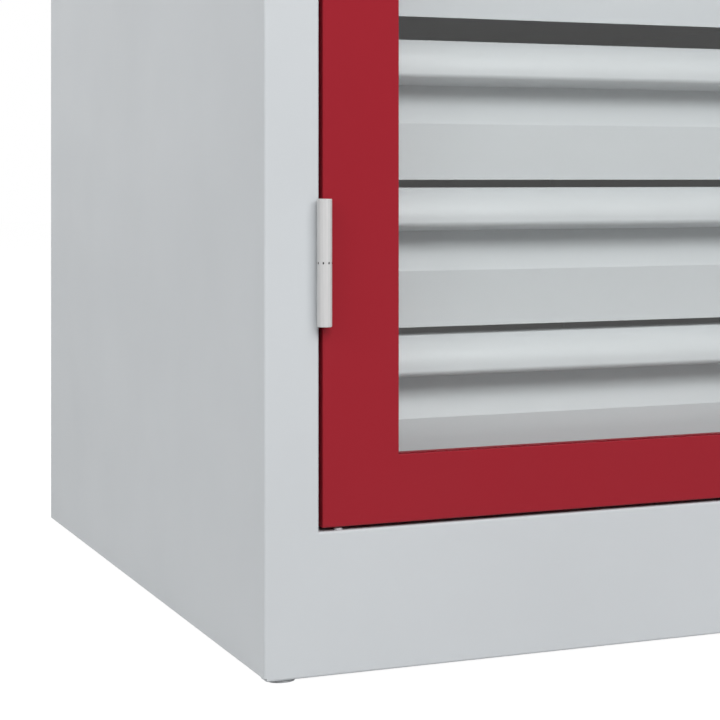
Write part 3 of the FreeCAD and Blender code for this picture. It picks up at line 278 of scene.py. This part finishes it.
def hinge_paint(name):
    """Neutral light grey paint with faint upright bands in gloss and relief, whose lighter and
    darker tone is painted shading of a faceted barrel.
    """
    material, nodes = new_material(name)
    colour = linear(205, 205, 205)
    upright = nodes.stretched(nodes.coordinates(), (700.0, 700.0, 6.0))
    bands = nodes.noise(scale=1.0, detail=1.0, vector=upright)
    # Painted shading: the bands make the colour lighter and darker, like facets catching the light.
    tone = nodes.mottle(bands, shade(colour, 0.95), shade(colour, 1.06))
    gloss = nodes.spread(bands, low=0.38, high=0.5)
    normal = nodes.bump(bands, 40 * MICRON, nodes.soft_edges(radius=0.3 * MM))
    nodes.surface(Base_Color=tone, Roughness=gloss, Normal=normal)
    return material


def moulded(name, colour, roughness=0.55, grain=30 * MICRON):
    """Moulded plastic with a fine grain and every edge painted lighter as a highlight."""
    material, nodes = new_material(name)
    clouds = nodes.noise(scale=40.0, detail=3.0)
    tone = nodes.mottle(clouds, shade(colour, 0.94), shade(colour, 1.06))
    # Every edge painted lighter: a painted highlight along the rims.
    tone_with_edge_highlight = nodes.blend(nodes.edge_mask(radius=0.5 * MM), tone, shade(colour, 1.3))
    gloss = nodes.spread(clouds, low=roughness - 0.05, high=roughness + 0.05)
    pitted = nodes.noise(scale=1600.0, detail=1.0)
    normal = nodes.bump(pitted, grain, nodes.soft_edges(radius=0.3 * MM))
    nodes.surface(Base_Color=tone_with_edge_highlight, Roughness=gloss, Normal=normal)
    return material


def rubber(name):
    """Matt black rubber with a dusty bloom."""
    material, nodes = new_material(name)
    bloom = nodes.noise(scale=120.0, detail=4.0)
    tone = nodes.mottle(bloom, linear(30, 30, 31), linear(46, 46, 47))
    gloss = nodes.spread(bloom, low=0.7, high=0.86)
    pores = nodes.noise(scale=2200.0)
    normal = nodes.bump(pores, 25 * MICRON, nodes.soft_edges(radius=0.3 * MM))
    nodes.surface(Base_Color=tone, Roughness=gloss, Normal=normal, Specular_IOR_Level=0.35)
    return material


def chrome(name):
    """Polished plating with hairline scratches."""
    material, nodes = new_material(name)
    scratches = nodes.noise(scale=700.0, detail=6.0, roughness=0.7)
    gloss = nodes.spread(scratches, low=0.06, high=0.16)
    tone = nodes.mottle(scratches, linear(206, 207, 209), linear(222, 223, 225))
    normal = nodes.bump(scratches, 2 * MICRON, nodes.soft_edges(radius=0.3 * MM))
    nodes.surface(Base_Color=tone, Metallic=1.0, Roughness=gloss, Normal=normal)
    return material


def acrylic(name):
    """Clear sheet that mirrors a little and lets the lamps through, with faint dust."""
    material, nodes = new_material(name)
    dust = nodes.noise(scale=35.0, detail=6.0, roughness=0.65)
    gloss = nodes.spread(dust, low=0.0, high=0.03)
    glass = nodes.add("ShaderNodeBsdfPrincipled", inputs={
        "Base Color": (0.985, 0.992, 0.99, 1.0), "Roughness": gloss,
        "Transmission Weight": 1.0, "IOR": 1.45,
    })
    clear = nodes.add("ShaderNodeBsdfTransparent", inputs={"Color": (0.93, 0.935, 0.935, 1.0)})
    path = nodes.add("ShaderNodeLightPath").outputs
    passing = nodes.calculate("MAXIMUM", path["Is Shadow Ray"], path["Is Diffuse Ray"])
    nodes.mixed_surface(passing, glass, clear)
    return material


# The finish of each material slot.
MATERIALS = {
    "casing_grey": powder_coat("casing_paint", linear(202, 206, 209), shine=0.3),
    "drawer_grey": powder_coat("drawer_paint", linear(197, 201, 203), shine=0.62, roughness=0.33),
    "door_red": powder_coat("door_paint", linear(149, 27, 40), shine=0.22),
    "hinge_white": hinge_paint("hinge_paint"),
    "zinc_steel": zinc_plate("zinc_plate"),
    "clear_pane": acrylic("pane_acrylic"),
    "black_rubber": rubber("seal_rubber"),
    "grey_plastic": moulded("foot_plastic", linear(204, 206, 209)),
    "guide_plastic": moulded("guide_plastic", linear(52, 52, 53)),
    "lock_black": powder_coat("lock_paint", linear(46, 46, 48), peel=30 * MICRON, roughness=0.5),
    "lock_chrome": chrome("lock_chrome"),
}


def dress_nodes():
    """Give every solid of the model the finish of its slot."""
    slots = {item["node"]: item["material_slot"] for item in frame["record"]["subparts"]}
    for name, item in frame["nodes"].items():
        item.data.materials.clear()
        item.data.materials.append(MATERIALS[slots[name]])


def islands(node):
    """The lowest and highest corner of each separate solid of a node, in order of the lowest."""
    weld = 0.001 * MM
    decimals = 5
    work = bmesh.new()
    work.from_mesh(frame["nodes"][node].data)
    bmesh.ops.remove_doubles(work, verts=work.verts, dist=weld)
    waiting = set(work.verts)
    found = []
    while waiting:
        solid = set()
        front = [waiting.pop()]
        while front:
            vertex = front.pop()
            solid.add(vertex)
            for edge in vertex.link_edges:
                other = edge.other_vert(vertex)
                if other in waiting:
                    waiting.remove(other)
                    front.append(other)
        places = [vertex.co for vertex in solid]
        low = Vector(min(place[axis] for place in places) for axis in range(3))
        high = Vector(max(place[axis] for place in places) for axis in range(3))
        found.append((low, high))
    work.free()
    return sorted(found, key=lambda box: tuple(round(value, decimals) for value in box[0]))


def numbered_solids(node):
    """Number, lowest and highest corner of each solid; the first one's piece replaces the node."""
    for number, (low, high) in enumerate(islands(node), start=1):
        yield number, low, high, (node,) if number == 1 else ()


def middle(low, high):
    """The middle of a box."""
    return tuple((first + last) / 2 for first, last in zip(low, high))


def half_width(low, high):
    """Half the width of a box, which is the radius of a round solid."""
    return (high.x - low.x) / 2


def scaled(outline, radius, height=1.0):
    """The profile of a round piece from the shares of its outline."""
    return [(share * radius, level * height) for share, level in outline]


def turned(profile, steps=48):
    """A solid of revolution about Z from its (radius, height) points, from the bottom up."""
    work = bmesh.new()
    rings = []
    for radius, height in profile:
        if radius == 0:
            rings.append([work.verts.new((0, 0, height))])
            continue
        ring = []
        for step in range(steps):
            angle = 2 * math.pi * step / steps
            corner = (radius * math.cos(angle), radius * math.sin(angle), height)
            ring.append(work.verts.new(corner))
        rings.append(ring)
    for lower, upper in zip(rings, rings[1:]):
        for step in range(steps):
            following = (step + 1) % steps
            corners = [lower[step % len(lower)], lower[following % len(lower)]]
            corners += [upper[following % len(upper)], upper[step % len(upper)]]
            unique = list(dict.fromkeys(corners))
            if len(unique) > 2:
                work.faces.new(unique)
    return work


def add_piece(name, work, slot, body, place=(0, 0, 0), turn=None, replaces=()):
    """Turn a bmesh into a piece that rides on a body and takes the finish of a slot."""
    mesh = bpy.data.meshes.new(name)
    bmesh.ops.recalc_face_normals(work, faces=work.faces)
    matrix = Matrix.Translation(place)
    if turn is not None:
        matrix = matrix @ turn
    work.transform(matrix)
    for edge in work.edges:
        edge.smooth = len(edge.link_faces) == 2 and edge.calc_face_angle(0) < SMOOTH_BELOW
    for face in work.faces:
        face.smooth = True
    work.to_mesh(mesh)
    work.free()
    piece = bpy.data.objects.new(name, mesh)
    bpy.context.scene.collection.objects.link(piece)
    mesh.materials.append(MATERIALS[slot])
    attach(piece, body)
    if replaces:
        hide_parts(*replaces)


def thread(radius, start, end):
    """The profile of a screw thread, drawn as close rings, with its flat end."""
    pitch = 1.25 * MM
    depth = 0.6 * pitch
    crest_start, crest_end = 0.45 * pitch, 0.6 * pitch
    points = []
    for turn in range(int((end - start) / pitch)):
        low = start + turn * pitch
        points += [(radius - depth, low), (radius, low + crest_start), (radius, low + crest_end)]
    return points + [(radius - depth, end), (0, end)]


def add_feet():
    """Round foot pads with a bevelled rim, a groove and a threaded stem."""
    stem_radius = 4 * MM
    casing_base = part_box("front_frame")[0].z
    for number, low, high, replaced in numbered_solids("levelling_feet"):
        pad_height = casing_base - low.z
        pad = scaled(FOOT_OUTLINE, half_width(low, high), pad_height)
        work = turned(pad + thread(stem_radius, pad_height, high.z - low.z))
        x, y, _ = middle(low, high)
        place = (x, y, low.z)
        add_piece(f"foot_{number}", work, "grey_plastic", "cabinet", place, replaces=replaced)


def add_sill_pads():
    """Small domed pads on the sill."""
    for number, low, high, replaced in numbered_solids("sill_pads"):
        profile = scaled(PAD_OUTLINE, half_width(low, high), high.z - low.z)
        work = turned(profile, steps=32)
        x, y, _ = middle(low, high)
        place = (x, y, low.z)
        add_piece(f"sill_pad_{number}", work, "grey_plastic", "cabinet", place, replaces=replaced)


def cross_recess(work, top, depth, arm, width):
    """Close a screw head's flat top with a cross-shaped recess."""
    taper = 0.7
    ring = [edge for edge in work.edges if edge.is_boundary]
    half = width / 2
    outline = [
        (half, half), (half, arm), (-half, arm), (-half, half), (-arm, half), (-arm, -half),
        (-half, -half), (-half, -arm), (half, -arm), (half, -half), (arm, -half), (arm, half),
    ]
    rim = [work.verts.new((x, y, top)) for x, y in outline]
    floor = [work.verts.new((taper * x, taper * y, top - depth)) for x, y in outline]
    edges = [work.edges.new((rim[index - 1], rim[index])) for index in range(len(rim))]
    bmesh.ops.triangle_fill(work, use_beauty=True, edges=ring + edges)
    inside = [face for face in work.faces if all(vertex in rim for vertex in face.verts)]
    bmesh.ops.delete(work, geom=inside, context="FACES_ONLY")
    for index in range(len(rim)):
        work.faces.new((rim[index - 1], rim[index], floor[index], floor[index - 1]))
    work.faces.new(floor)


def add_pane_screws():
    """Pan head screws with cross recesses that hold the pane strips, each at another angle."""
    shank_radius = 1.5 * MM
    tip_radius, tip_length = 1.1 * MM, 0.6 * MM
    turn_between = 0.7
    head_height = SCREW_HEAD[-1][1]
    for number, low, high, replaced in numbered_solids("pane_screws"):
        radius = half_width(low, high)
        shank = high.y - low.y - head_height
        stem = [
            (0, -shank), (tip_radius, -shank), (shank_radius, tip_length - shank),
            (shank_radius, 0.0),
        ]
        work = turned(stem + scaled(SCREW_HEAD, radius), steps=32)
        cross_recess(work, head_height, depth=1.0 * MM, arm=0.5 * radius, width=0.22 * radius)
        x, _, z = middle(low, high)
        place = (x, high.y - head_height, z)
        turn = TOP_TO_BACK @ Matrix.Rotation(turn_between * number, 4, "Z")
        add_piece(f"pane_screw_{number}", work, "zinc_steel", "door", place, turn, replaced)


def add_hinge_rings():
    """A ring that fills the split of each hinge barrel, and small dark dots round it, painted shade
    of the split.
    """
    half = 0.45 * MM
    inset = 0.02 * MM
    chamfer = 0.1 * MM
    for name in ("lower", "upper"):
        pin_low, pin_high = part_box(f"{name}_hinge_pin")
        frame_low, frame_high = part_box(f"{name}_frame_knuckle")
        door_low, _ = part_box(f"{name}_door_knuckle")
        x, y, _ = middle(pin_low, pin_high)
        axis = Vector((x, y, (frame_high.z + door_low.z) / 2))
        pin_radius = half_width(pin_low, pin_high)
        barrel = axis.y - frame_low.y
        outer = barrel - inset
        profile = [
            (pin_radius, -half), (outer - chamfer, -half), (outer, chamfer - half),
            (outer, half - chamfer), (outer - chamfer, half), (pin_radius, half),
            (pin_radius, -half),
        ]
        work = turned(profile, steps=96)
        add_piece(f"{name}_hinge_ring", work, "hinge_white", "cabinet", axis)
        # Dark dots round the split, put where shade in the gap would show: painted shade.
        work = bmesh.new()
        for dot_number in range(SHADE_DOTS):
            add_shade_dot(work, barrel, math.radians(FIRST_SHADE_DOT + 360 / SHADE_DOTS * dot_number))
        add_piece(f"{name}_hinge_shade_dots", work, "guide_plastic", "cabinet", axis)


def add_shade_dot(work, radius, angle):
    """A small dark oval on a barrel, slightly dished in its middle: a patch of painted shade."""
    width, height = 1.05 * MM, 1.7 * MM
    steps = 20
    # From the rim inwards: the share of the size, and how far it stands out of the barrel.
    levels = ((1.0, -0.12 * MM), (0.96, 0.05 * MM), (0.7, 0.03 * MM), (0.4, 0.01 * MM))
    rings = []
    for share, proud in levels:
        reach = radius + proud
        ring = []
        for step in range(steps):
            turn = 2 * math.pi * step / steps
            around = angle + share * width / 2 * math.cos(turn) / radius
            level = share * height / 2 * math.sin(turn)
            corner = (reach * math.cos(around), reach * math.sin(around), level)
            ring.append(work.verts.new(corner))
        rings.append(ring)
    for outer, inner in zip(rings, rings[1:]):
        for step in range(steps):
            after = (step + 1) % steps
            work.faces.new((outer[step], outer[after], inner[after], inner[step]))
    work.faces.new(rings[-1])
    work.faces.new(rings[0])


def add_buffers():
    """Rubber door buffers with a domed head on a narrower neck."""
    for number, low, high, replaced in numbered_solids("door_buffers"):
        profile = scaled(BUFFER_OUTLINE, half_width(low, high), high.y - low.y)
        work = turned(profile, steps=40)
        x, _, z = middle(low, high)
        place = (x, low.y, z)
        name = f"door_buffer_{number}"
        add_piece(name, work, "black_rubber", "cabinet", place, TOP_TO_BACK, replaced)


def add_seal():
    """The window seal as a grooved strip with a rounded lip, set a little back from the window."""
    setback = 0.6 * MM
    corners = [vertex.co for vertex in frame["nodes"]["window_seal"].data.vertices]
    xs = sorted({round(corner.x, 5) for corner in corners})
    zs = sorted({round(corner.z, 5) for corner in corners})
    front_y = min(corner.y for corner in corners)
    thickness = max(corner.y for corner in corners) - front_y
    width = xs[1] - xs[0] - setback
    work = bmesh.new()
    rings = []
    for x_side, z_side in ((-1, -1), (1, -1), (1, 1), (-1, 1)):
        inner_x = (xs[1] if x_side < 0 else xs[-2]) + x_side * setback
        inner_z = (zs[1] if z_side < 0 else zs[-2]) + z_side * setback
        rings.append([
            work.verts.new((
                inner_x + x_side * share * width, front_y + level * thickness,
                inner_z + z_side * share * width,
            ))
            for share, level in SEAL_OUTLINE
        ])
    for index, ring in enumerate(rings):
        before = rings[index - 1]
        for step in range(len(ring)):
            work.faces.new((before[step - 1], before[step], ring[step], ring[step - 1]))
    add_piece("window_seal_strip", work, "black_rubber", "door", replaces=("window_seal",))


def aim(item, look):
    """Turn a camera or a lamp towards a direction."""
    item.rotation_euler = look.to_track_quat("-Z", "Y").to_euler()


def add_camera():
    """The photograph's camera."""
    data = bpy.data.cameras.new("camera")
    data.lens = CAMERA_LENS
    data.sensor_width = CAMERA_SENSOR
    data.sensor_fit = "HORIZONTAL"
    data.shift_x, data.shift_y = CAMERA_SHIFT
    camera = bpy.data.objects.new("camera", data)
    camera.location = CAMERA_PLACE
    aim(camera, CAMERA_LOOK)
    bpy.context.scene.collection.objects.link(camera)
    bpy.context.scene.camera = camera


def add_lamp(name, place, target, side, power):
    """A soft square lamp that points at a target and doesn't show in reflections."""
    data = bpy.data.lights.new(name, "AREA")
    data.shape = "SQUARE"
    data.size = side
    data.energy = power
    lamp = bpy.data.objects.new(name, data)
    lamp.location = place
    aim(lamp, Vector(target) - Vector(place))
    lamp.visible_glossy = False
    bpy.context.scene.collection.objects.link(lamp)


def seen_directly(nodes, in_gloss=1.0):
    """1 for what is seen straight on or through glass, and a given share in reflections."""
    path = nodes.add("ShaderNodeLightPath").outputs
    glossy = nodes.calculate("MULTIPLY", path["Is Glossy Ray"], in_gloss)
    seen = path["Is Camera Ray"]
    for ray in (path["Is Transmission Ray"], glossy):
        seen = nodes.calculate("MAXIMUM", seen, ray)
    return seen


def add_world():
    """Even light from all round, before a white background."""
    world = bpy.data.worlds.new("studio")
    world.use_nodes = True
    nodes = Nodes(world.node_tree)
    dim, white = (
        nodes.add("ShaderNodeBackground", inputs={"Color": grey(1.0), "Strength": strength})
        for strength in (WORLD_LIGHT, 1.0)
    )
    nodes.mixed_surface(seen_directly(nodes), dim, white, output="ShaderNodeOutputWorld")
    bpy.context.scene.world = world


def add_floor():
    """A white floor that keeps a soft shadow of the cabinet."""
    mesh = bpy.data.meshes.new("floor")
    half = FLOOR_HALF
    corners = [(-half, -half, 0), (half, -half, 0), (half, half, 0), (-half, half, 0)]
    mesh.from_pydata(corners, [], [(0, 1, 2, 3)])
    floor = bpy.data.objects.new("floor", mesh)
    bpy.context.scene.collection.objects.link(floor)
    material, nodes = new_material("floor_white")
    paper = nodes.add("ShaderNodeBsdfDiffuse", inputs={"Color": grey(FLOOR_BOUNCE)})
    shadow = nodes.add("ShaderNodeBsdfDiffuse", inputs={"Color": grey(FLOOR_SHADOWED)})
    glow = nodes.add("ShaderNodeEmission", inputs={"Color": grey(1.0), "Strength": FLOOR_GLOW})
    white = nodes.add("ShaderNodeAddShader", inputs={0: shadow.outputs[0], 1: glow.outputs[0]})
    nodes.mixed_surface(seen_directly(nodes, in_gloss=FLOOR_IN_GLOSS), paper, white)
    mesh.materials.append(material)


add_camera()
add_world()
add_floor()
for lamp in LAMPS:
    add_lamp(*lamp)
dress_nodes()
add_feet()
add_sill_pads()
add_pane_screws()
add_hinge_rings()
add_buffers()
add_seal()
bpy.context.scene.view_settings.view_transform = "Standard"
